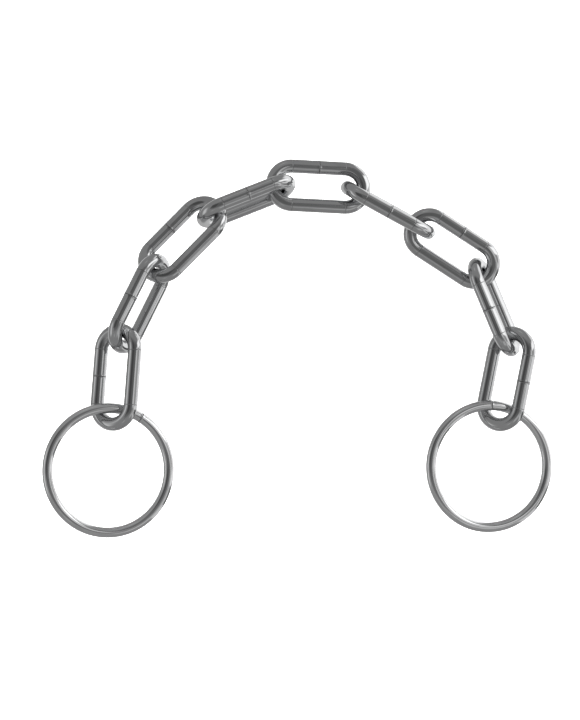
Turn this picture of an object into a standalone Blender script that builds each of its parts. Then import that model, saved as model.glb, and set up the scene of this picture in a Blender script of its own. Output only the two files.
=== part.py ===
"""Short length of bright steel chain: nine long oval links with a round ring at each end.

Metres, +Z up. The chain lies in an arch on the floor at Z = 0, with the rings at the near side
(-Y) and the crown of the arch at the far side (+Y). Odd links lie on their side and pass through
even links, which lean on edge. At each joint the even link's wire, or the ring's, slides round the
inside of the odd link's end bend, so the two swing about that bend's own axis.
"""

import math

import bmesh
import bpy
import numpy as np
from mathutils import Matrix, Vector

# Driving sizes: wire diameters and outside measures.
LINK_WIRE = 0.008
LINK_LENGTH = 0.062
LINK_WIDTH = 0.0305
RING_WIRE = 0.006
RING_OUTER = 0.077

# Free space left between the wires of two pieces that touch.
GAP = 0.0004

# Worked out from the driving sizes: half length, bend radius and ring radius of the wire's centre.
LINK_REACH = (LINK_LENGTH - LINK_WIRE) / 2
LINK_BEND = (LINK_WIDTH - LINK_WIRE) / 2
RING_RADIUS = (RING_OUTER - RING_WIRE) / 2

# Facets of the wires.
WIRE_SIDES = 16
BEND_STEPS = 12
RING_STEPS = 64

# How finely the centrelines are followed where two pieces are pulled against each other.
FINE_BEND_STEPS = 48
FINE_RING_STEPS = 320
FINE_SPACING = 0.0007
SEAT_HALVINGS = 24

# Distance from a link's tip at which the next piece's wire starts before it is pulled tight.
LINK_LOOSE = 1.3 * LINK_WIRE
RING_LOOSE = 0.8 * (LINK_WIRE + RING_WIRE)
LINK_PULL = LINK_WIRE / 2
RING_PULL = LINK_WIRE

# The lay of the chain, from the left ring to the right one. A heading is the direction of a
# link's long axis on the floor, anticlockwise from +X. A roll turns the link about that axis:
# 0 lies flat, 90 stands on edge, and a positive roll lifts the side to the left of the heading.
HEADINGS = (86, 64, 46, 22.5, -1.5, -27.5, -32, -67, -100.5)
ROLLS = (-39.5, 51.5, -32.5, 74, -1, 104, 16.5, 121, 38)

# At each joint, how far the lying link's end has sunk below the middle of the leaning link. Where
# the lean holds the end up instead, the sag is negative.
SAGS = (0.0011, 0.0011, 0.0002, 0.0018, 0.0021, 0.0024, 0.0002, -0.0016)

# A ring rests on the low side of its link and slopes down from there to the floor.
RING_SLOPE = math.radians(8)
RING_SLOPE_TURN = math.radians(50)

# The middle link, which the others are parented to, outwards.
MIDDLE = len(HEADINGS) // 2

STEEL_COLOUR = (0.46, 0.47, 0.48, 1.0)
STEEL_ROUGHNESS = 0.2

UP = np.array((0.0, 0.0, 1.0))


def section_radius(wire):
    """Radius to the corners of a faceted wire with the same cross-section area as the round one."""
    corner_area = WIRE_SIDES / 2 * math.sin(2 * math.pi / WIRE_SIDES)
    return wire / 2 * math.sqrt(math.pi / corner_area)


def underside(wire):
    """Distance from a wire's centre to the flat of its lowest facet."""
    return section_radius(wire) * math.cos(math.pi / WIRE_SIDES)


def oval_path(steps):
    """Points and outward directions along a link's centreline, in the link's own plane."""
    straight = LINK_REACH - LINK_BEND
    points = []
    outward = []
    for end in (1, -1):
        for step in range(steps + 1):
            angle = math.pi * (step / steps - 0.5)
            across = np.array((end * math.cos(angle), end * math.sin(angle), 0.0))
            points.append(np.array((end * straight, 0.0, 0.0)) + LINK_BEND * across)
            outward.append(across)
    return np.array(points), np.array(outward)


def circle_path(steps):
    """Points and outward directions along a ring's centreline, in the ring's own plane."""
    angles = 2 * np.pi * (np.arange(steps) + 0.5) / steps
    outward = np.column_stack((np.cos(angles), np.sin(angles), np.zeros(steps)))
    return RING_RADIUS * outward, outward


def filled_in(points, spacing):
    """Extra points along a closed centreline, so that none are further apart than the spacing."""
    filled = []
    for start, end in zip(points, np.roll(points, -1, axis=0)):
        count = max(1, math.ceil(np.linalg.norm(end - start) / spacing))
        for step in range(count):
            filled.append(start + (end - start) * step / count)
    return np.array(filled)


LINK_LINE = filled_in(oval_path(FINE_BEND_STEPS)[0], FINE_SPACING)
RING_LINE = filled_in(circle_path(FINE_RING_STEPS)[0], FINE_SPACING)


def axes_of(heading, pitch, roll):
    """Rotation of a piece: X along its axis, Y across it and Z along its normal."""
    along = np.array((
        math.cos(heading) * math.cos(pitch),
        math.sin(heading) * math.cos(pitch),
        math.sin(pitch),
    ))
    level = np.array((-math.sin(heading), math.cos(heading), 0.0))
    raised = np.cross(along, level)
    across = math.cos(roll) * level + math.sin(roll) * raised
    return np.column_stack((along, across, np.cross(along, across)))


def placed(line, axes, centre):
    """A centreline's points, turned and moved to where the piece lies."""
    return line @ axes.T + centre


def nearest(first, second):
    """Shortest distance between the points of two centrelines."""
    apart = first[:, None, :] - second[None, :, :]
    return math.sqrt((apart ** 2).sum(axis=2).min())


def seat(fixed, moving, direction, room, travel):
    """How far the moving wire goes in a direction before only the room is left to the fixed one."""
    near = 0.0
    far = travel
    for _ in range(SEAT_HALVINGS):
        middle = (near + far) / 2
        if nearest(fixed, moving + middle * direction) >= room:
            near = middle
        else:
            far = middle
    return near


def flat(angle):
    """Direction on the floor for a heading."""
    return np.array((math.cos(angle), math.sin(angle), 0.0))


def leaning_height(roll):
    """Height of the middle of a link whose low side lies on the floor."""
    return underside(LINK_WIRE) + LINK_BEND * abs(math.sin(roll))


def floor_end(level, other):
    """Height of one end of a link whose low side just reaches the floor there, given the other end."""
    share = (LINK_REACH - LINK_BEND) / LINK_REACH
    return (2 * level - (1 - share) * other) / (1 + share)


def lay_links():
    """Axes and centre of every link, from the left ring to the right one."""
    headings = [math.radians(heading) for heading in HEADINGS]
    rolls = [math.radians(roll) for roll in ROLLS]
    heights = [leaning_height(roll) for roll in rolls]
    loose = LINK_REACH - LINK_LOOSE
    last = len(headings) - 1
    links = []
    pin = np.zeros(3)
    for index, (heading, roll) in enumerate(zip(headings, rolls)):
        ahead = flat(heading)
        pitch = 0.0
        if index % 2:
            reach_back = LINK_REACH
            height = heights[index]
        else:
            reach_back = loose
            before = heights[index - 1] - SAGS[index - 1] if index else None
            after = heights[index + 1] - SAGS[index] if index < last else None
            before = before or floor_end(heights[index], after)
            after = after or floor_end(heights[index], before)
            pitch = math.asin((after - before) / (2 * LINK_REACH))
            height = (before + after) / 2
        axes = axes_of(heading, pitch, roll)
        centre = pin + reach_back * ahead
        centre[2] = height
        if links:
            fixed = placed(LINK_LINE, *links[-1])
            moving = placed(LINK_LINE, axes, centre)
            pull = ahead if index % 2 == 0 else flat(headings[index - 1])
            shift = seat(fixed, moving, pull, LINK_WIRE + GAP, LINK_PULL)
            centre = centre + shift * pull
        links.append((axes, centre))
        pin = centre + (LINK_REACH if index % 2 else loose) * ahead
    return links


def lay_ring(link, outward, heading):
    """Axes and centre of a ring that hangs on the outer end of a link and rests on the floor."""
    link_axes, link_centre = link
    axes = axes_of(heading + RING_SLOPE_TURN, RING_SLOPE, 0.0)
    away = flat(heading + math.pi)
    tip = link_centre + outward * LINK_REACH * link_axes[:, 0]
    centre = tip + (RING_RADIUS * math.cos(RING_SLOPE) - RING_LOOSE) * away
    centre[2] = underside(RING_WIRE) + RING_RADIUS * math.sin(RING_SLOPE)
    fixed = placed(LINK_LINE, link_axes, link_centre)
    moving = placed(RING_LINE, axes, centre)
    room = (LINK_WIRE + RING_WIRE) / 2 + GAP
    return axes, centre + seat(fixed, moving, away, room, RING_PULL) * away


def bend_centre(link, end):
    """Centre of the bend at one end of a link: what hangs there slides round it as it swings."""
    axes, centre = link
    return centre + end * (LINK_REACH - LINK_BEND) * axes[:, 0]


def swing_point(links, index):
    """Point on the axis that a link and its neighbour towards the middle swing about."""
    if index == MIDDLE:
        return links[index][1]
    neighbour = index + (1 if index < MIDDLE else -1)
    lying, leaning = sorted((index, neighbour), key=lambda number: number % 2)
    return bend_centre(links[lying], leaning - lying)


def wire_mesh(name, path, wire, axes, offset):
    """A closed faceted wire along a path, with a flat of its low side facing straight down."""
    points, outward = path
    turn = math.atan2(-axes[2, 2], math.hypot(axes[2, 0], axes[2, 1]))
    radius = section_radius(wire)
    mesh = bmesh.new()
    loops = []
    for point, out in zip(points, outward):
        loop = []
        for corner in range(WIRE_SIDES):
            angle = turn + 2 * math.pi * (corner + 0.5) / WIRE_SIDES
            from_centre = math.cos(angle) * out + math.sin(angle) * UP
            loop.append(mesh.verts.new(point + radius * from_centre - offset))
        loops.append(loop)
    for first, second in zip(loops, loops[1:] + loops[:1]):
        for corner in range(WIRE_SIDES):
            after = (corner + 1) % WIRE_SIDES
            mesh.faces.new((first[corner], second[corner], second[after], first[after]))
    bmesh.ops.recalc_face_normals(mesh, faces=mesh.faces)
    data = bpy.data.meshes.new(name)
    mesh.to_mesh(data)
    mesh.free()
    data.shade_smooth()
    return data


def steel(name):
    """Bright plain steel, one material for each piece."""
    material = bpy.data.materials.new(name + "_steel")
    material.use_nodes = True
    shader = material.node_tree.nodes["Principled BSDF"]
    shader.inputs["Base Color"].default_value = STEEL_COLOUR
    shader.inputs["Metallic"].default_value = 1.0
    shader.inputs["Roughness"].default_value = STEEL_ROUGHNESS
    return material


def add_piece(name, path, wire, pose, origin):
    """One piece as an object whose origin is the point that it swings about."""
    axes, centre = pose
    offset = axes.T @ (origin - centre)
    data = wire_mesh(name, path, wire, axes, offset)
    data.materials.append(steel(name))
    piece = bpy.data.objects.new(name, data)
    bpy.context.scene.collection.objects.link(piece)
    world = Matrix(axes.tolist()).to_4x4()
    world.translation = Vector(origin)
    piece.matrix_world = world
    return piece


def hang_on(piece, parent):
    """Parent a piece to its neighbour towards the middle and leave it where it is."""
    bpy.context.view_layer.update()
    place = piece.matrix_world.copy()
    piece.parent = parent
    piece.matrix_parent_inverse = parent.matrix_world.inverted()
    piece.matrix_world = place


def centre_on_floor(pieces):
    """Move the whole chain so that its box stands centred on the origin."""
    bpy.context.view_layer.update()
    corners = [piece.matrix_world @ vertex.co for piece in pieces for vertex in piece.data.vertices]
    middle_x = (min(c.x for c in corners) + max(c.x for c in corners)) / 2
    middle_y = (min(c.y for c in corners) + max(c.y for c in corners)) / 2
    lowest = min(c.z for c in corners)
    for piece in pieces:
        piece.location -= Vector((middle_x, middle_y, lowest))


def build():
    """Make the nine links and the two rings."""
    for old in list(bpy.data.objects):
        bpy.data.objects.remove(old)

    links = lay_links()
    rings = (
        ("ring_left", links[0], -1, math.radians(HEADINGS[0])),
        ("ring_right", links[-1], 1, math.radians(HEADINGS[-1] + 180)),
    )
    link_path = oval_path(BEND_STEPS)
    ring_path = circle_path(RING_STEPS)

    chain = []
    for index, pose in enumerate(links):
        origin = swing_point(links, index)
        chain.append(add_piece(f"link_{index + 1}", link_path, LINK_WIRE, pose, origin))
    ends = []
    for name, link, outward, heading in rings:
        pose = lay_ring(link, outward, heading)
        ends.append(add_piece(name, ring_path, RING_WIRE, pose, bend_centre(link, outward)))

    centre_on_floor(chain + ends)
    for index in range(MIDDLE, 0, -1):
        hang_on(chain[index - 1], chain[index])
    for index in range(MIDDLE, len(chain) - 1):
        hang_on(chain[index + 1], chain[index])
    hang_on(ends[0], chain[0])
    hang_on(ends[1], chain[-1])


build()
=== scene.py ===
"""Dressed model of a short length of bright steel chain with a round ring at each end.

The frame holds the plain solids of the chain as it lies on the floor. Here every link and ring is
made again as a smooth round wire in the place of its solid, with the butt weld that closes it and
the fine lines that the bending tool leaves where a straight meets a bend.
"""

import logging
import math
from dataclasses import dataclass, field
from enum import Enum
from typing import Any

import bmesh
import bpy
import numpy as np
from mathutils import Matrix, Vector


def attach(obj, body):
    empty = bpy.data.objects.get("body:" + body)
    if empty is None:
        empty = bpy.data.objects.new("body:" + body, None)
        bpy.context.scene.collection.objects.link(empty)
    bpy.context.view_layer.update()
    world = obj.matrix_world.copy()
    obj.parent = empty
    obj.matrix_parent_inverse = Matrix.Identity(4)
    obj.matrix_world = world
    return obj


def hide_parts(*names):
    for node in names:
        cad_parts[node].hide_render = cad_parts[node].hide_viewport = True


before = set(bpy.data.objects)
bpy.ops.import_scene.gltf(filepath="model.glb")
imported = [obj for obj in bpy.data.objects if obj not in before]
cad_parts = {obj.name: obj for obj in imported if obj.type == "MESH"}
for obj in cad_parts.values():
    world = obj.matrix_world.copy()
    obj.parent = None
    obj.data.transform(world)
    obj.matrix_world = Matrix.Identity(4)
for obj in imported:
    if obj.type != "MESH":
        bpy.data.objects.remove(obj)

LOG = logging.getLogger("chain")

MILLIMETRE = 0.001
UP = np.array((0.0, 0.0, 1.0))

# The photograph's frame, and the box that the chain fills in it: left, top, right, bottom.
PHOTO_WIDTH = 580
PHOTO_HEIGHT = 720
PHOTO_BOX = (42, 161, 552, 536)

# Names of the point attributes that the steel's finish reads: its place, and painted shade in grooves.
DRAWN_PLACE = "drawn_place"
LINE_SHADE = "line_shade"

# Where half a mark has its rings of points: shares of the groove, then of what lies beyond it.
GROOVE_SHARES = (0.0, 0.25, 0.5, 0.75, 1.0)
BEYOND_SHARES = (0.33, 0.67, 1.0)

# How many times as much a triangle's middle weighs as a corner in the triangle's second moment.
MIDDLE_WEIGHT = 9


class Mark(Enum):
    """A line right round the wire."""

    WELD = "weld"
    BEND_LINE = "bend line"


class Side(Enum):
    """Where the welded bar of a link lies."""

    OUTSIDE_OF_ARCH = "outside of the arch"
    TOP = "top"


@dataclass(frozen=True)
class Ridge:
    """Section of a mark along the wire: a groove, with or without a low swelling round it.

    Attributes:
        groove_width: Width of the groove.
        groove_depth: Depth of the groove below the wire's surface.
        swell_width: Width of the swelling.
        swell_height: Height of the swelling above the wire's surface.
        shade: How much painted shade darkens the groove's floor, from 0 to 1.
    """

    groove_width: float
    groove_depth: float
    swell_width: float
    swell_height: float
    shade: float

    def rise(self, away: float) -> float:
        """Height of the surface above the plain wire.

        Args:
            away: Distance along the wire from the middle of the mark.

        Returns:
            The height, negative inside the groove.
        """
        swell = self.swell_height * hump(away, self.swell_width)
        return swell - (self.groove_depth + self.swell_height) * hump(away, self.groove_width)

    def darkness(self, away: float) -> float:
        """Painted shade of the surface at a distance along the wire from the middle of the mark."""
        return self.shade * hump(away, self.groove_width)

    def offsets(self) -> list[float]:
        """Distances from the middle of the mark at which the mesh needs a ring of points."""
        half_groove = self.groove_width / 2
        beyond = max(self.swell_width, 2 * self.groove_width) / 2 - half_groove
        inner = [half_groove * share for share in GROOVE_SHARES]
        outer = [half_groove + beyond * share for share in BEYOND_SHARES]
        return sorted({sign * away for away in inner + outer for sign in (-1, 1)})


RIDGES = {
    Mark.WELD: Ridge(
        groove_width=0.62 * MILLIMETRE,
        groove_depth=0.16 * MILLIMETRE,
        swell_width=1.9 * MILLIMETRE,
        swell_height=0.13 * MILLIMETRE,
        shade=1.0,
    ),
    Mark.BEND_LINE: Ridge(
        groove_width=0.42 * MILLIMETRE,
        groove_depth=0.07 * MILLIMETRE,
        swell_width=0.0,
        swell_height=0.0,
        shade=0.75,
    ),
}


def hump(away: float, width: float) -> float:
    """A smooth hump that is 1 in its middle and 0 from half its width outwards.

    Args:
        away: Distance from the middle.
        width: Full width of the hump; none where it is 0.

    Returns:
        The hump's value, from 0 to 1.
    """
    if abs(away) * 2 >= width:
        return 0.0
    return 0.5 + 0.5 * math.cos(2 * math.pi * away / width)


@dataclass(frozen=True)
class Pose:
    """Where a piece lies: its centre and its own three directions.

    Attributes:
        centre: Middle of the piece.
        along: Direction of its X: a link's long axis, or from a ring to its link.
        across: Direction of its Y, in the plane of its bends.
        normal: Direction of its Z, at right angles to that plane.
    """

    centre: np.ndarray
    along: np.ndarray
    across: np.ndarray
    normal: np.ndarray

    def place(self, spot: np.ndarray) -> np.ndarray:
        """A point given in the piece's own directions, in the frame."""
        return self.centre + spot[0] * self.along + spot[1] * self.across + spot[2] * self.normal


def spread_of(node: str) -> tuple[np.ndarray, np.ndarray]:
    """Centre of a node's surface and the directions that it spreads in.

    Args:
        node: Name of the node.

    Returns:
        The centre, and a matrix whose columns are the directions, the flattest one first.
    """
    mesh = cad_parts[node].data
    mesh.calc_loop_triangles()
    points = np.array([vertex.co for vertex in mesh.vertices])
    corners = points[np.array([triangle.vertices for triangle in mesh.loop_triangles])]
    sides = np.cross(corners[:, 1] - corners[:, 0], corners[:, 2] - corners[:, 0])
    areas = np.linalg.norm(sides, axis=1) / 2
    middles = corners.mean(axis=1)
    centre = (middles * areas[:, None]).sum(axis=0) / areas.sum()
    corners = corners - centre
    middles = middles - centre
    spread = np.einsum("t,tci,tcj->ij", areas, corners, corners)
    spread += MIDDLE_WEIGHT * np.einsum("t,ti,tj->ij", areas, middles, middles)
    return centre, np.linalg.eigh(spread)[1]


def facing(direction: np.ndarray, toward: np.ndarray) -> np.ndarray:
    """The direction, turned round if it points away from the other one."""
    return direction if direction @ toward >= 0 else -direction


def add_object(name: str, data: bpy.types.ID) -> bpy.types.Object:
    """Add an object to the scene."""
    added = bpy.data.objects.new(name, data)
    bpy.context.scene.collection.objects.link(added)
    return added


def rectangle(name: str, width: float, length: float, level: float = 0.0) -> bpy.types.Mesh:
    """Make the mesh of a level rectangle, with its middle above or below the origin.

    Args:
        name: Name of the mesh.
        width: Size along X.
        length: Size along Y.
        level: Height above the origin.

    Returns:
        The mesh, a single face.
    """
    corners = [(x * width / 2, y * length / 2, level) for x, y in ((-1, -1), (1, -1), (1, 1), (-1, 1))]
    mesh = bpy.data.meshes.new(name)
    mesh.from_pydata(corners, [], [(0, 1, 2, 3)])
    return mesh


@dataclass(kw_only=True)
class WirePiece:
    """A piece of the chain: one closed loop of round wire in the place of a node.

    Attributes:
        node: Name of the node that the piece stands for.
        slot: Name of a material slot for the piece; not used.
        wire: Diameter of the wire.
        drawn_start: Where along the drawn wire the piece was cut from, so that no two look alike.
        sides: Points round the wire.
        station_gap: Largest distance between rings of points along the wire, away from the marks.
        made: The piece's object, once it is built.
    """

    node: str
    slot: str
    wire: float
    drawn_start: float
    sides: int = 48
    station_gap: float = 0.9 * MILLIMETRE
    made: bpy.types.Object | None = field(default=None, init=False)

    def pose(self) -> Pose:
        """Where the piece lies."""
        raise NotImplementedError

    def length(self) -> float:
        """Length of the wire's centre line."""
        raise NotImplementedError

    def bend_at(self, travelled: float) -> tuple[np.ndarray, np.ndarray]:
        """Point on the centre line and the direction outwards, in the piece's own directions."""
        raise NotImplementedError

    def marks(self) -> list[tuple[float, Mark]]:
        """Each mark and its place along the wire, which starts at the weld."""
        raise NotImplementedError

    def from_mark(self, travelled: float, mark_at: float) -> float:
        """Shortest distance along the closed wire from a mark, with its sign."""
        half = self.length() / 2
        return (travelled - mark_at + half) % self.length() - half

    def stations(self) -> list[float]:
        """Distances along the wire at which the mesh has a ring of points."""
        length = self.length()
        count = math.ceil(length / self.station_gap)
        even = [length * step / count for step in range(count)]
        close = []
        for mark_at, mark in self.marks():
            offsets = RIDGES[mark].offsets()
            reach = offsets[-1]
            even = [station for station in even if abs(self.from_mark(station, mark_at)) > reach]
            close += [(mark_at + offset) % length for offset in offsets]
        return sorted(even + close)

    def surface(self, travelled: float) -> tuple[float, float]:
        """Radius of the wire's surface, and the painted shade of its grooves, at a distance along it."""
        rise = 0.0
        shade = 0.0
        for mark_at, mark in self.marks():
            away = self.from_mark(travelled, mark_at)
            rise += RIDGES[mark].rise(away)
            shade = max(shade, RIDGES[mark].darkness(away))
        return self.wire / 2 + rise, shade

    def add_mesh(self) -> bpy.types.Mesh:
        """Make the wire's mesh where the piece lies.

        Returns:
            The mesh, with the attributes that the steel's finish reads.
        """
        pose = self.pose()
        stations = self.stations()
        points = []
        drawn = []
        shades = []
        for travelled in stations:
            spot, outward = self.bend_at(travelled)
            radius, shade = self.surface(travelled)
            for side in range(self.sides):
                angle = 2 * math.pi * side / self.sides
                points.append(pose.place(spot + radius * (math.cos(angle) * outward + math.sin(angle) * UP)))
                across = (self.wire / 2 * math.cos(angle), self.wire / 2 * math.sin(angle))
                drawn.append((self.drawn_start + travelled, *across))
                shades.append(shade)
        mesh = bpy.data.meshes.new(self.node + "_wire")
        mesh.from_pydata([tuple(point) for point in points], [], self.faces(len(stations)))
        mesh.shade_smooth()
        place = mesh.attributes.new(DRAWN_PLACE, "FLOAT_VECTOR", "POINT")
        place.data.foreach_set("vector", np.array(drawn, dtype=np.float32).ravel())
        line = mesh.attributes.new(LINE_SHADE, "FLOAT", "POINT")
        line.data.foreach_set("value", np.array(shades, dtype=np.float32))
        return mesh

    def faces(self, rings: int) -> list[tuple[int, int, int, int]]:
        """Corners of the faces between the rings of points, which close on themselves."""
        corners = []
        for ring in range(rings):
            here = ring * self.sides
            ahead = (ring + 1) % rings * self.sides
            for side in range(self.sides):
                beside = (side + 1) % self.sides
                corners.append((here + side, here + beside, ahead + beside, ahead + side))
        return corners

    def build(self) -> bpy.types.Object:
        """Make the piece.

        Returns:
            The new object, which rides on the node's body and stands for the node.
        """
        mesh = self.add_mesh()
        self.made = add_object(self.node + "_wire", mesh)
        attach(self.made, self.node)
        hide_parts(self.node)
        LOG.info("%s: %d points, stands for %s", self.made.name, len(mesh.vertices), self.node)
        return self.made

    def dress(self, steel: bpy.types.Material) -> None:
        """Give the piece its finish."""
        self.made.data.materials.append(steel)


@dataclass(kw_only=True)
class Link(WirePiece):
    """A long oval link: two straight bars and two round bends, welded in the middle of one bar.

    Attributes:
        toward: Direction along the chain at this link, from the left ring to the right one.
        outward: Direction out of the arch at this link.
        welded_side: Where the welded bar lies.
        outer_length: Length over the bends.
        outer_width: Width over the bars.
    """

    toward: np.ndarray
    outward: np.ndarray
    welded_side: Side
    outer_length: float = 62.0 * MILLIMETRE
    outer_width: float = 30.5 * MILLIMETRE

    @property
    def bend_radius(self) -> float:
        """Radius of the bends of the wire's centre line."""
        return (self.outer_width - self.wire) / 2

    @property
    def straight(self) -> float:
        """Length of a straight bar."""
        return self.outer_length - self.outer_width

    @property
    def bend_length(self) -> float:
        """Length of the centre line round one bend."""
        return math.pi * self.bend_radius

    def pose(self) -> Pose:
        """Where the link lies, with its welded bar on the side that its across direction points to."""
        centre, directions = spread_of(self.node)
        along = facing(directions[:, 2], self.toward)
        side = UP if self.welded_side is Side.TOP else self.outward
        across = facing(directions[:, 1], side)
        return Pose(centre, along, across, np.cross(along, across))

    def length(self) -> float:
        """Length of the wire's centre line."""
        return 2 * (self.straight + self.bend_length)

    def bend_at(self, travelled: float) -> tuple[np.ndarray, np.ndarray]:
        """Point on the centre line and the direction outwards, in the link's own directions.

        Args:
            travelled: Distance along the centre line from the weld.

        Returns:
            The point and the outward direction.
        """
        half = self.straight / 2
        rest = (travelled + half) % self.length()
        end = 1.0
        if rest >= self.straight + self.bend_length:
            rest -= self.straight + self.bend_length
            end = -1.0
        if rest < self.straight:
            outward = np.array((0.0, end, 0.0))
            return np.array((end * (rest - half), 0.0, 0.0)) + self.bend_radius * outward, outward
        angle = (rest - self.straight) / self.bend_radius
        outward = end * np.array((math.sin(angle), math.cos(angle), 0.0))
        return np.array((end * half, 0.0, 0.0)) + self.bend_radius * outward, outward

    def marks(self) -> list[tuple[float, Mark]]:
        """The weld in the middle of one bar, and a line at each end of both bars."""
        first = self.straight / 2
        second = first + self.bend_length
        third = second + self.straight
        fourth = third + self.bend_length
        lines = [(place, Mark.BEND_LINE) for place in (first, second, third, fourth)]
        return [(0.0, Mark.WELD)] + lines


@dataclass(kw_only=True)
class Ring(WirePiece):
    """A round ring, welded at one place.

    Attributes:
        link_centre: Centre of the link that the ring hangs on.
        weld_turn: Angle from the ring's link to its weld, anticlockwise seen from above.
        outer_width: Width over the ring.
    """

    link_centre: np.ndarray
    weld_turn: float
    outer_width: float = 77.0 * MILLIMETRE

    @property
    def radius(self) -> float:
        """Radius of the wire's centre line."""
        return (self.outer_width - self.wire) / 2

    def pose(self) -> Pose:
        """Where the ring lies, with its along direction towards its link."""
        centre, directions = spread_of(self.node)
        normal = facing(directions[:, 0], UP)
        toward = self.link_centre - centre
        toward = toward - (toward @ normal) * normal
        along = toward / np.linalg.norm(toward)
        return Pose(centre, along, np.cross(normal, along), normal)

    def length(self) -> float:
        """Length of the wire's centre line."""
        return 2 * math.pi * self.radius

    def bend_at(self, travelled: float) -> tuple[np.ndarray, np.ndarray]:
        """Point on the centre line and the direction outwards, in the ring's own directions."""
        angle = self.weld_turn - travelled / self.radius
        outward = np.array((math.cos(angle), math.sin(angle), 0.0))
        return self.radius * outward, outward

    def marks(self) -> list[tuple[float, Mark]]:
        """The weld alone."""
        return [(0.0, Mark.WELD)]


class Shade:
    """A node's output that Python's arithmetic works on, each step being a node."""

    def __init__(self, tree: "ShadeTree", socket: bpy.types.NodeSocket) -> None:
        """Wrap a socket of a tree."""
        self.tree = tree
        self.socket = socket

    def _with(self, operation: str, first: Any, second: Any) -> "Shade":
        """A Math node on two values."""
        return self.tree.add("ShaderNodeMath", {"operation": operation}, {0: first, 1: second})

    def __add__(self, other: Any) -> "Shade":
        """Sum."""
        return self._with("ADD", self, other)

    __radd__ = __add__

    def __rsub__(self, other: Any) -> "Shade":
        """Difference from the other value."""
        return self._with("SUBTRACT", other, self)

    def __mul__(self, other: Any) -> "Shade":
        """Product."""
        return self._with("MULTIPLY", self, other)

    __rmul__ = __mul__

    def size(self) -> "Shade":
        """The value without its sign."""
        return self.tree.add("ShaderNodeMath", {"operation": "ABSOLUTE"}, {0: self})

    def between(self, low: float, high: float) -> "Shade":
        """A smooth step from 0 at the low value to 1 at the high one."""
        inputs = {"Value": self, "From Min": low, "From Max": high}
        return self.tree.add("ShaderNodeMapRange", {"interpolation_type": "SMOOTHSTEP"}, inputs)


class ShadeTree:
    """A node tree that one method adds nodes to."""

    def __init__(self, tree: bpy.types.NodeTree) -> None:
        """Empty the tree of nodes."""
        self.tree = tree
        tree.nodes.clear()

    def add(
        self,
        kind: str,
        settings: dict[str, Any] | None = None,
        inputs: dict[Any, Any] | None = None,
        output: int | str = 0,
    ) -> Shade:
        """Add a node.

        Args:
            kind: The node's type.
            settings: Its settings, which are set first.
            inputs: A value, or a Shade to link, for each of its sockets.
            output: The output to hand back.

        Returns:
            The node's output.
        """
        node = self.tree.nodes.new(kind)
        for name, value in (settings or {}).items():
            setattr(node, name, value)
        for name, value in (inputs or {}).items():
            if isinstance(value, Shade):
                self.tree.links.new(value.socket, node.inputs[name])
            else:
                node.inputs[name].default_value = value
        return Shade(self, node.outputs[output] if node.outputs else None)

    def scaled(self, vector: Shade, scale: tuple[float, float, float]) -> Shade:
        """A vector with each of its parts multiplied."""
        return self.add("ShaderNodeVectorMath", {"operation": "MULTIPLY"}, {0: vector, 1: scale})

    def blend(self, share: Shade, first: Any, second: Any) -> Shade:
        """A colour between two colours."""
        # Inputs 6 and 7 and output 2 are the node's sockets for colours.
        settings = {"data_type": "RGBA", "blend_type": "MIX"}
        return self.add("ShaderNodeMix", settings, {0: share, 6: first, 7: second}, output=2)


def new_material(name: str) -> tuple[bpy.types.Material, ShadeTree]:
    """Make a material.

    Args:
        name: Name of the material.

    Returns:
        The material, and its node tree, which has no nodes yet.
    """
    material = bpy.data.materials.new(name)
    material.use_nodes = True
    return material, ShadeTree(material.node_tree)


@dataclass(frozen=True)
class Grain:
    """Noise over the drawn wire.

    Attributes:
        along: How finely it changes along the wire, in steps to the metre.
        across: How finely it changes across the wire, in steps to the metre.
        detail: Number of finer layers in it.
    """

    along: float
    across: float
    detail: float

    def noise(self, tree: ShadeTree, drawn: Shade) -> Shade:
        """The noise, from 0 to 1, at each place on the drawn wire."""
        place = tree.scaled(drawn, (self.along, self.across, self.across))
        inputs = {"Vector": place, "Scale": 1.0, "Detail": self.detail}
        return tree.add("ShaderNodeTexNoise", inputs=inputs)


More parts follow.
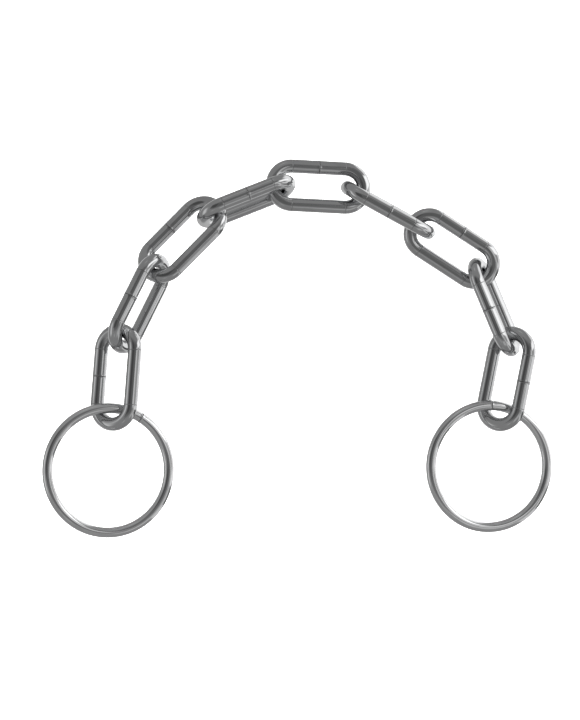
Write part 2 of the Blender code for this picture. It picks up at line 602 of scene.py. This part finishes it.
@dataclass(frozen=True)
class DrawnSteel:
    """Bright drawn steel wire, polished after welding.

    Attributes:
        name: Name of the material.
        colour: Colour of the clean metal.
        clouded: Colour where the polish is a little duller.
        groove_shade_colour: Near-black colour painted at the bottom of a groove as shade.
        roughness: Roughness of the clean metal.
        streak_roughness: Roughness that the drawing lines add.
        clouded_roughness: Roughness that a duller place adds.
        line_roughness: Roughness that the bottom of a groove adds.
        streak_depth: Depth of the fine lines that drawing leaves along the wire.
        wave_depth: Depth of the slow waves that polishing leaves.
        clouding: Values of the clouds between which the polish turns duller.
        streaks: Grain of the drawing lines.
        clouds: Grain of the duller places.
        waves: Grain of the slow waves.
    """

    name: str
    colour: tuple[float, float, float, float]
    clouded: tuple[float, float, float, float]
    groove_shade_colour: tuple[float, float, float, float] = (0.03, 0.03, 0.032, 1.0)
    roughness: float = 0.035
    streak_roughness: float = 0.05
    clouded_roughness: float = 0.10
    line_roughness: float = 0.35
    streak_depth: float = 0.0025 * MILLIMETRE
    wave_depth: float = 0.012 * MILLIMETRE
    clouding: tuple[float, float] = (0.45, 0.75)
    streaks: Grain = Grain(along=45.0, across=2600.0, detail=3.0)
    clouds: Grain = Grain(along=70.0, across=160.0, detail=4.0)
    waves: Grain = Grain(along=110.0, across=90.0, detail=1.0)

    def material(self) -> bpy.types.Material:
        """Make the finish's material."""
        material, tree = new_material(self.name)
        drawn = tree.add("ShaderNodeAttribute", {"attribute_name": DRAWN_PLACE}, output="Vector")
        line = tree.add("ShaderNodeAttribute", {"attribute_name": LINE_SHADE}, output="Fac")
        streaks = self.streaks.noise(tree, drawn)
        dull = self.clouds.noise(tree, drawn).between(*self.clouding)
        waves = self.waves.noise(tree, drawn)
        roughness = self.roughness + self.streak_roughness * streaks
        roughness = roughness + self.clouded_roughness * dull + self.line_roughness * line
        metal = tree.blend(dull, self.colour, self.clouded)
        # Painted shade: the metal turns near black along the floor of each groove.
        colour = tree.blend(line, metal, self.groove_shade_colour)
        height = streaks * self.streak_depth + waves * self.wave_depth
        normal = tree.add("ShaderNodeBump", inputs={"Height": height, "Distance": 1.0, "Strength": 1.0})
        surface = tree.add(
            "ShaderNodeBsdfPrincipled",
            inputs={"Base Color": colour, "Metallic": 1.0, "Roughness": roughness, "Normal": normal},
        )
        tree.add("ShaderNodeOutputMaterial", inputs={"Surface": surface})
        return material


@dataclass(frozen=True)
class Panel:
    """A flat panel that faces the chain.

    Attributes:
        name: Name of the panel.
        azimuth: Angle round the chain from +X towards +Y, in degrees.
        from_zenith: Angle down from straight overhead, in degrees.
        width: Width as seen from the chain, in degrees.
        height: Height as seen from the chain, in degrees.
        glow: Brightness of the panel.
        turn: Turn of the panel about the line to the chain, in degrees.
        distance: Distance of the panel from the middle of the chain.
    """

    name: str
    azimuth: float
    from_zenith: float
    width: float
    height: float
    glow: float
    turn: float = 0.0
    distance: float = 1.6

    def size(self) -> tuple[float, float]:
        """Width and height of the panel."""
        angles = (self.width, self.height)
        return tuple(2 * self.distance * math.tan(math.radians(angle) / 2) for angle in angles)

    def hang(self, data: bpy.types.ID) -> bpy.types.Object:
        """Hang the panel's light or mesh in its place, turned to the chain and out of the camera's sight."""
        azimuth = math.radians(self.azimuth)
        down = math.radians(self.from_zenith)
        direction = Vector((
            math.sin(down) * math.cos(azimuth),
            math.sin(down) * math.sin(azimuth),
            math.cos(down),
        ))
        panel = add_object(self.name, data)
        spin = Matrix.Rotation(math.radians(self.turn), 4, "Z")
        aim = direction.to_track_quat("Z", "Y").to_matrix().to_4x4()
        panel.matrix_world = Matrix.Translation(direction * self.distance) @ aim @ spin
        panel.visible_camera = False
        LOG.info("panel: %s", self.name)
        return panel


@dataclass(frozen=True)
class Softbox(Panel):
    """A lit panel that lights the floor and that the steel doesn't mirror."""

    def build(self) -> None:
        """Hang the light."""
        lamp = bpy.data.lights.new(self.name, "AREA")
        lamp.shape = "RECTANGLE"
        lamp.size, lamp.size_y = self.size()
        lamp.energy = self.glow * math.pi * lamp.size * lamp.size_y
        self.hang(lamp).visible_glossy = False


@dataclass(frozen=True)
class Card(Panel):
    """A white, grey or black card that only the steel mirrors.

    Attributes:
        softness: Share of the way from its sides to its middle, and from its ends to its middle,
            in which the card fades in.
    """

    softness: tuple[float, float] = (0.4, 0.4)

    def build(self) -> None:
        """Hang the card."""
        width, height = self.size()
        mesh = rectangle(self.name, width, height)
        mesh.materials.append(self.material(width, height))
        card = self.hang(mesh)
        card.visible_diffuse = False
        card.visible_shadow = False

    def material(self, width: float, height: float) -> bpy.types.Material:
        """Make the glow of a card of this width and height, which fades out towards its edges."""
        material, tree = new_material(self.name)
        place = tree.add("ShaderNodeTexCoord", output="Object")
        place = tree.scaled(place, (2 / width, 2 / height, 1.0))
        present = 1.0
        for side, softness in zip("XY", self.softness):
            across = tree.add("ShaderNodeSeparateXYZ", inputs={"Vector": place}, output=side)
            present = present * (1 - across.size()).between(0.0, softness)
        clear = tree.add("ShaderNodeBsdfTransparent")
        glow = tree.add("ShaderNodeEmission", inputs={"Strength": self.glow})
        surface = tree.add("ShaderNodeMixShader", inputs={0: present, 1: clear, 2: glow})
        tree.add("ShaderNodeOutputMaterial", inputs={"Surface": surface})
        return material


@dataclass
class Studio:
    """The pale floor, the white dome, the surroundings, the softboxes, the cards and the camera.

    Attributes:
        floor_size: Side of the floor, which reaches out past the dome.
        floor_drop: Depth of the floor below the chain, more than any end reaches at a joint's limit.
        floor_colour: Colour of the floor.
        floor_roughness: Roughness of the floor.
        floor_shine: How strongly the floor mirrors.
        floor_glow: Brightness that the floor keeps where little light reaches it.
        dome_radius: Radius of the white dome round the chain.
        dome_rounds: Rounds in which the dome's faces are divided.
        dome_glow: Brightness of the dome.
        surround: Brightness of the plain surroundings.
        camera_back: Direction from the chain to the camera.
        camera_distance: Distance of the camera from the chain.
        aim_rounds: Rounds in which the camera is aimed and the lens chosen.
        sensor: Long side of the camera's sensor, in millimetres.
        softboxes: The panels that light the floor.
        cards: The panels that the steel mirrors.
    """

    floor_size: float = 14.0
    floor_drop: float = 0.13
    floor_colour: tuple[float, float, float, float] = (0.9, 0.9, 0.9, 1.0)
    floor_roughness: float = 0.7
    floor_shine: float = 0.2
    floor_glow: float = 1.0
    dome_radius: float = 6.0
    dome_rounds: int = 4
    dome_glow: float = 1.0
    surround: float = 0.29
    camera_back: tuple[float, float, float] = (-0.18, -0.095, 1.0)
    camera_distance: float = 2.0
    aim_rounds: int = 5
    sensor: float = 36.0
    softboxes: tuple[Softbox, ...] = (
        Softbox("overhead_fill", 0, 0, 100, 100, 3.2),
    )
    cards: tuple[Card, ...] = (
        Card("floor_card", 0, 180, 112, 112, 0.60, softness=(0.5, 0.5)),
        Card("dark_card_overhead", 180, 12, 76, 74, 0.14, distance=1.9, softness=(0.7, 0.6)),
        Card("black_card_left", 172, 35, 46, 42, 0.08, distance=1.8, softness=(0.6, 0.5)),
        Card("soft_card_far", 101, 66, 32, 34, 0.42, distance=1.8, softness=(0.8, 0.9)),
        Card("soft_card_near", -113, 53, 30, 30, 0.39, distance=1.8, softness=(0.8, 0.9)),
        Card("pale_card_left", 186, 84, 62, 42, 0.75, distance=1.8, softness=(0.6, 0.9)),
        Card("grey_card_right", 0, 38, 30, 56, 0.43, distance=1.7, softness=(0.3, 0.4)),
        Card("pale_card_upper_right", 5, 23, 24, 22, 0.62, distance=1.65, softness=(0.5, 0.5)),
        Card("white_card_right", 25, 112, 84, 104, 1.15, distance=1.6, softness=(0.35, 0.7)),
        Card("white_card_lower_right", -12, 72, 13, 38, 1.0, distance=1.5, softness=(0.3, 0.5)),
        Card("white_strip_right", 26, 64, 26, 68, 1.5, distance=1.5, softness=(0.35, 0.5)),
        Card("pale_strip_near_right", -37, 97, 16, 92, 0.65, distance=1.5, softness=(0.4, 0.3)),
        Card("pale_strip_right", -16, 44, 6, 62, 0.92, turn=-30, distance=1.4, softness=(0.4, 0.3)),
        Card("black_card_near_right", -22, 104, 18, 44, 0.08, distance=1.4, softness=(0.25, 0.6)),
        Card("dark_card_far_right", 50, 28, 16, 30, 0.16, distance=1.55, softness=(0.6, 0.6)),
        Card("pale_card_near", -55, 48, 44, 30, 0.50, distance=0.6, softness=(0.5, 0.6)),
    )

    def add_backdrop(self, name: str, mesh: bpy.types.Mesh) -> tuple[bpy.types.Object, ShadeTree]:
        """Add a piece of the backdrop, which the steel doesn't mirror.

        Args:
            name: Name of the piece and of its material.
            mesh: The mesh of the piece.

        Returns:
            The object, and the empty node tree of its material.
        """
        backdrop = add_object(name, mesh)
        material, tree = new_material(name)
        mesh.materials.append(material)
        backdrop.visible_glossy = False
        return backdrop, tree

    def build_floor(self) -> None:
        """Lay the floor below the chain, clear of it at every pose."""
        mesh = rectangle("floor", self.floor_size, self.floor_size, level=-self.floor_drop)
        _, tree = self.add_backdrop("pale_floor", mesh)
        surface = tree.add(
            "ShaderNodeBsdfPrincipled",
            inputs={
                "Base Color": self.floor_colour,
                "Roughness": self.floor_roughness,
                "Specular IOR Level": self.floor_shine,
                "Emission Color": self.floor_colour,
                "Emission Strength": self.floor_glow,
            },
        )
        tree.add("ShaderNodeOutputMaterial", inputs={"Surface": surface})

    def build_dome(self) -> None:
        """Raise a white dome round the chain that only the camera sees."""
        mesh = bpy.data.meshes.new("dome")
        shape = bmesh.new()
        bmesh.ops.create_icosphere(shape, subdivisions=self.dome_rounds, radius=self.dome_radius)
        shape.to_mesh(mesh)
        shape.free()
        dome, tree = self.add_backdrop("white_dome", mesh)
        dome.visible_diffuse = False
        dome.visible_shadow = False
        glow = tree.add("ShaderNodeEmission", inputs={"Strength": self.dome_glow})
        tree.add("ShaderNodeOutputMaterial", inputs={"Surface": glow})

    def build_surroundings(self) -> None:
        """Plain grey all round."""
        world = bpy.data.worlds.new("surroundings")
        world.use_nodes = True
        bpy.context.scene.world = world
        tree = ShadeTree(world.node_tree)
        grey = (self.surround, self.surround, self.surround, 1.0)
        glow = tree.add("ShaderNodeBackground", inputs={"Color": grey})
        tree.add("ShaderNodeOutputWorld", inputs={"Surface": glow})

    def build_lights(self) -> None:
        """Hang every softbox and card."""
        for panel in self.softboxes + self.cards:
            panel.build()

    def build_camera(self, pieces: list[bpy.types.Object]) -> None:
        """Set the camera so that the chain fills the same box of the frame as in the photograph.

        Args:
            pieces: The objects to frame.
        """
        back = np.array(self.camera_back) / np.linalg.norm(self.camera_back)
        right = np.cross((0.0, 1.0, 0.0), back)
        right = right / np.linalg.norm(right)
        top = np.cross(back, right)
        points = np.array([vertex.co for piece in pieces for vertex in piece.data.vertices])
        box_left, box_top, box_right, box_bottom = PHOTO_BOX
        wanted_right = (box_left + box_right - PHOTO_WIDTH) / 2
        wanted_up = (PHOTO_HEIGHT - box_top - box_bottom) / 2
        wanted = np.array((wanted_right, wanted_up))
        spot = np.zeros(3)
        for _ in range(self.aim_rounds):
            eye = spot + self.camera_distance * back
            depth = (eye - points) @ back
            seen = np.column_stack(((points - eye) @ right / depth, (points - eye) @ top / depth))
            pixel = (seen[:, 0].max() - seen[:, 0].min()) / (box_right - box_left)
            off = (seen.max(axis=0) + seen.min(axis=0)) / 2 - pixel * wanted
            spot = spot + self.camera_distance * (off[0] * right + off[1] * top)
        data = bpy.data.cameras.new("camera")
        data.sensor_width = self.sensor
        data.lens = self.sensor / (PHOTO_HEIGHT * pixel)
        data.clip_end = 2 * self.floor_size
        camera = add_object("camera", data)
        turned = Matrix(np.column_stack((right, top, back)).tolist()).to_4x4()
        turned.translation = Vector(spot + self.camera_distance * back)
        camera.matrix_world = turned
        bpy.context.scene.camera = camera
        LOG.info("camera: %.1f mm lens", data.lens)

    def build(self, pieces: list[bpy.types.Object]) -> None:
        """Build the whole studio round the pieces."""
        bpy.context.scene.view_settings.view_transform = "Standard"
        self.build_floor()
        self.build_dome()
        self.build_surroundings()
        self.build_lights()
        self.build_camera(pieces)


@dataclass
class Chain:
    """The nine links and the two rings.

    Attributes:
        link_wire: Diameter of the links' wire.
        ring_wire: Diameter of the rings' wire.
        link_count: Number of links.
        drawn_gap: Length of drawn wire from the start of one piece to the start of the next.
        ring_welds: Angle from its link to its weld for the left ring and for the right one.
        link_steel: Finish of the links.
        ring_steel: Finish of the rings.
        pieces: The links and then the rings, once they are built.
    """

    link_wire: float = 8.0 * MILLIMETRE
    ring_wire: float = 6.0 * MILLIMETRE
    link_count: int = 9
    drawn_gap: float = 0.31
    ring_welds: tuple[float, float] = (math.radians(-27), math.radians(10))
    link_steel: DrawnSteel = DrawnSteel(
        name="bright_link_wire",
        colour=(0.61, 0.615, 0.62, 1.0),
        clouded=(0.54, 0.54, 0.545, 1.0),
    )
    ring_steel: DrawnSteel = DrawnSteel(
        name="bright_ring_wire",
        colour=(0.78, 0.785, 0.79, 1.0),
        clouded=(0.68, 0.68, 0.685, 1.0),
    )
    pieces: list[WirePiece] = field(default_factory=list, init=False)

    def link(self, index: int, centres: list[np.ndarray]) -> Link:
        """Describe a link. Odd-numbered links lie, and even-numbered ones lean on edge.

        Args:
            index: Place of the link in the chain, from 0 at the left ring.
            centres: Centre of every link.

        Returns:
            The link, not built yet.
        """
        before = centres[max(index - 1, 0)]
        after = centres[min(index + 1, self.link_count - 1)]
        toward = after - before
        return Link(
            node=f"link_{index + 1}",
            slot="link_steel",
            wire=self.link_wire,
            drawn_start=index * self.drawn_gap,
            toward=toward,
            outward=np.cross(UP, toward),
            welded_side=Side.TOP if index % 2 else Side.OUTSIDE_OF_ARCH,
        )

    def ring(self, node: str, place: int, link_centre: np.ndarray) -> Ring:
        """Describe a ring.

        Args:
            node: Name of the ring's node.
            place: 0 for the left ring, 1 for the right one.
            link_centre: Centre of the link that the ring hangs on.

        Returns:
            The ring, not built yet.
        """
        return Ring(
            node=node,
            slot="ring_steel",
            wire=self.ring_wire,
            drawn_start=(self.link_count + place) * self.drawn_gap,
            link_centre=link_centre,
            weld_turn=self.ring_welds[place],
        )

    def build(self) -> list[bpy.types.Object]:
        """Make every piece.

        Returns:
            The objects, the links first.
        """
        centres = [spread_of(f"link_{number}")[0] for number in range(1, self.link_count + 1)]
        self.pieces = [self.link(index, centres) for index in range(self.link_count)]
        self.pieces.append(self.ring("ring_left", 0, centres[0]))
        self.pieces.append(self.ring("ring_right", 1, centres[-1]))
        return [piece.build() for piece in self.pieces]

    def dress(self) -> None:
        """Give every piece its finish."""
        steels = {Link: self.link_steel.material(), Ring: self.ring_steel.material()}
        for piece in self.pieces:
            piece.dress(steels[type(piece)])
            LOG.info("%s: dressed", piece.node)


def main() -> None:
    """Build the chain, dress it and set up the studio."""
    logging.basicConfig(level=logging.INFO, format="%(name)s: %(message)s")
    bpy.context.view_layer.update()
    chain = Chain()
    pieces = chain.build()
    chain.dress()
    Studio().build(pieces)


if __name__ == "__main__":
    main()
